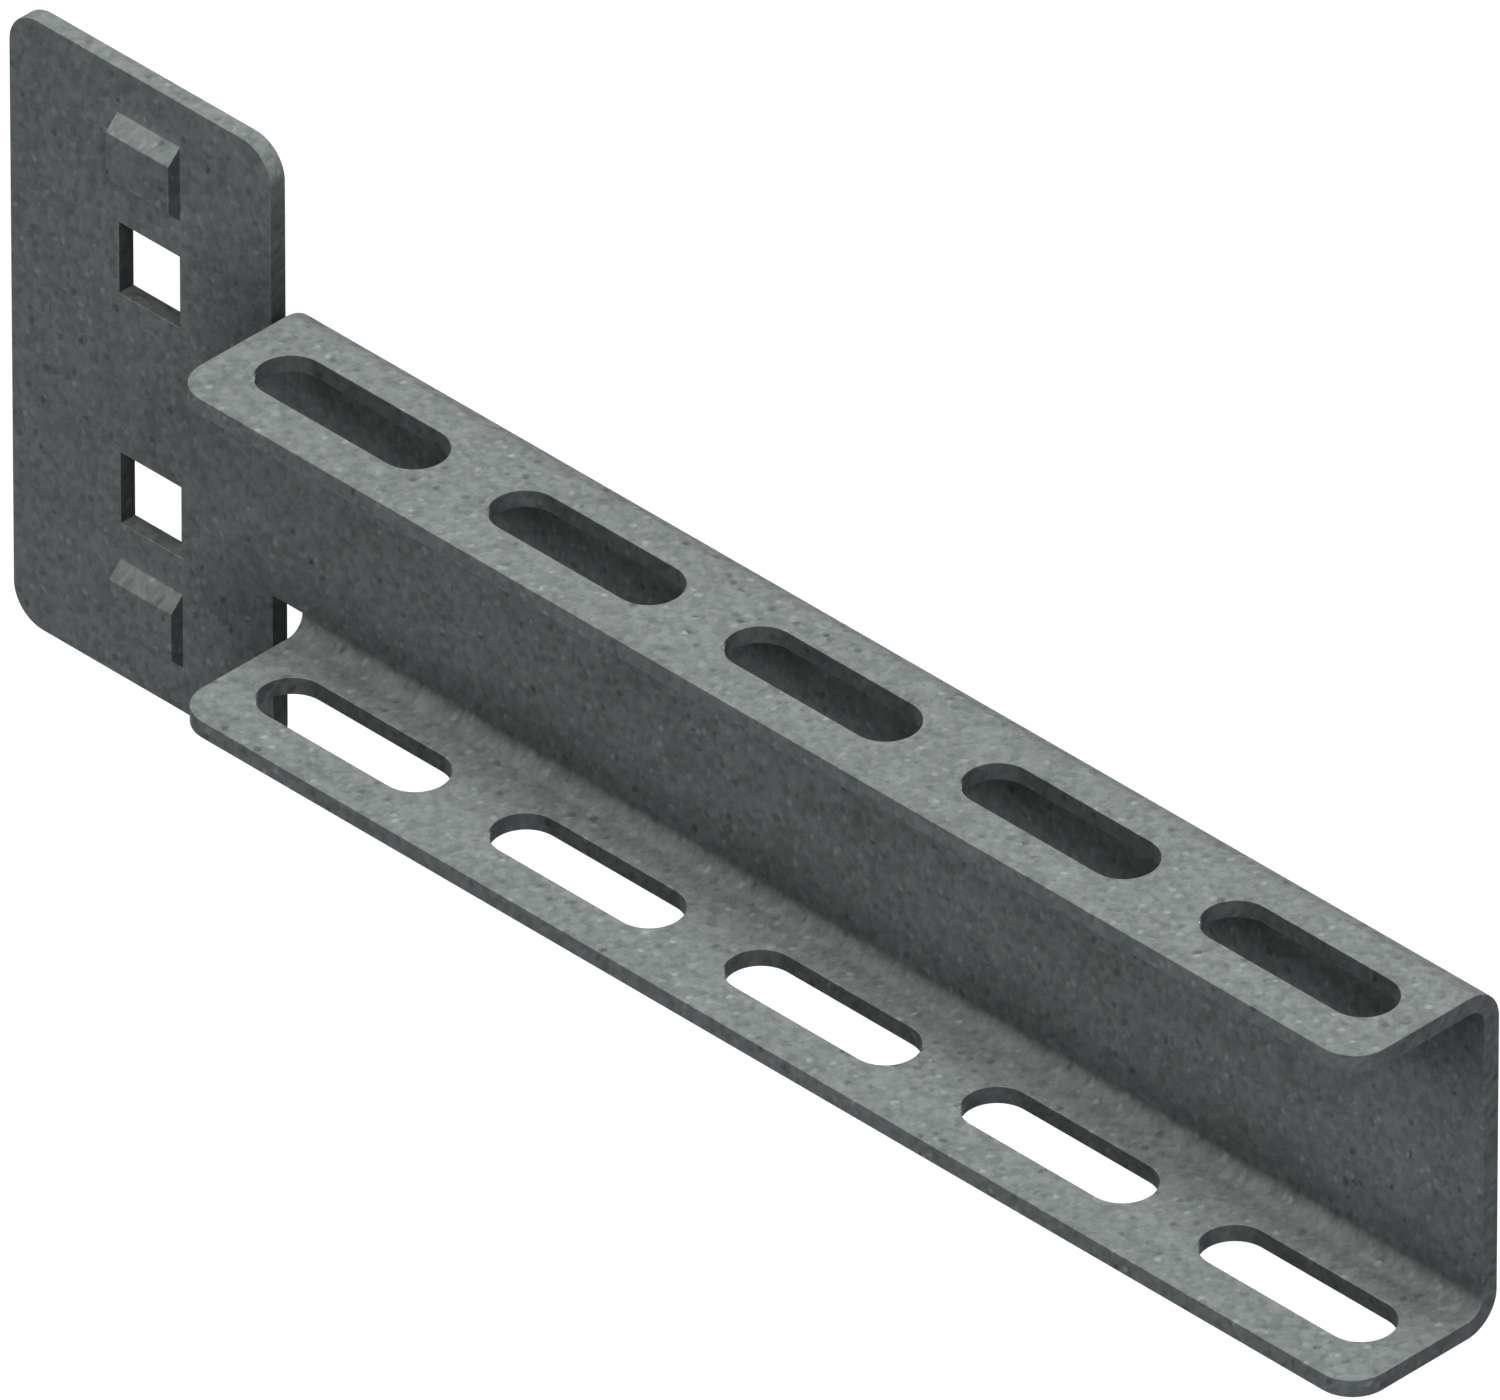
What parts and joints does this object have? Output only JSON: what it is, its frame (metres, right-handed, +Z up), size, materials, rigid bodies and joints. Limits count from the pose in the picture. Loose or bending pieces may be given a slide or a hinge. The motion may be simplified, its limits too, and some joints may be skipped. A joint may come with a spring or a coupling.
{
  "type": "cantilever strut arm",
  "caption": "Folded sheet steel arm. A flat end plate with square bolt holes and raised lugs bolts to an upright, and a slotted channel reaches out from it.",
  "frame": {"origin": "on the end plate's front face, midway between its two bolt holes", "axes": "+X along the channel, away from the upright; -Y out of the plate's front face, towards the upright, and out of the channel's open mouth; +Z up, out of the top flange"},
  "size_m": [0.25, 0.0245, 0.09],
  "materials": {
    "galvanised_steel": "hot-dip galvanised, matte grey with a fine mottle"
  },
  "bodies": {
    "root": {"arm": "galvanised_steel"}
  },
  "joints": []
}
